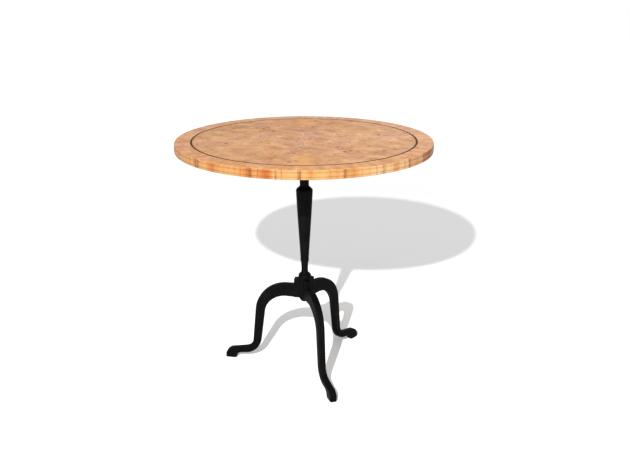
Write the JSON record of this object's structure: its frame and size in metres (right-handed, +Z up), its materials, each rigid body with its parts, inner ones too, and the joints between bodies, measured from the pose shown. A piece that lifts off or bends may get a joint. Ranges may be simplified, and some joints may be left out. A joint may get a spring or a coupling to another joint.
{
  "type": "tilt top table",
  "caption": "Round tilt top table: a veneered round top hinged on a head block, over a tapered iron column on cranked legs.",
  "frame": {"origin": "centre of the table's box at floor level, on the column's centre line", "axes": "+Z up out of the top; -Y is the front, where the top lifts; the tilt axis runs along X"},
  "size_m": [0.7619, 0.762, 0.74],
  "materials": {
    "burl_left": "polished burl veneer",
    "burl_right": "polished burl veneer",
    "burl_band": "polished veneer",
    "dark_string": "polished dyed wood",
    "core_wood": "plain board",
    "edge_wood": "polished striped wood",
    "backing_wood": "oiled veneer",
    "bearer_wood": "stained hardwood",
    "brass": "worn polish",
    "steel": "machined",
    "black_iron": "satin black paint",
    "glide_plastic": "moulded"
  },
  "bodies": {
    "base": {"head_block": "bearer_wood", "keep_plate": "brass", "keep_screws": "brass", "pivot_pins": "steel", "pivot_washers": "brass", "head_flange": "black_iron", "head_socket": "black_iron", "flange_screws": "steel", "column_shaft": "black_iron", "hub_cap": "black_iron", "hub": "black_iron", "clamp_plate": "black_iron", "finial_nut": "black_iron", "tie_rod": "steel", "rod_washer": "steel", "rod_nut": "steel", "leg_front": "black_iron", "leg_right": "black_iron", "leg_left": "black_iron", "foot_glides": "glide_plastic"},
    "top": {"veneer_leaf_left": "burl_left", "veneer_leaf_right": "burl_right", "inlay_string": "dark_string", "crossband": "burl_band", "top_core": "core_wood", "edge_band": "edge_wood", "backing_veneer": "backing_wood", "bearer_left": "bearer_wood", "bearer_right": "bearer_wood", "bearer_screws": "brass", "pivot_bushes": "brass", "bolt_plate": "brass", "bolt_keepers": "brass", "bolt_plate_screws": "brass"},
    "bolt": {"slide_bolt": "steel", "bolt_knob": "brass"}
  },
  "joints": [
    {"name": "top_tilt", "type": "hinge", "parent": "base", "child": "top", "pos_m": [0, 0.07, 0.696], "axis": [-1, 0, 0], "range_deg": [0, 90]},
    {"name": "bolt_slide", "type": "slide", "parent": "top", "child": "bolt", "axis": [0, 1, 0], "range_m": [0, 0.012]}
  ]
}
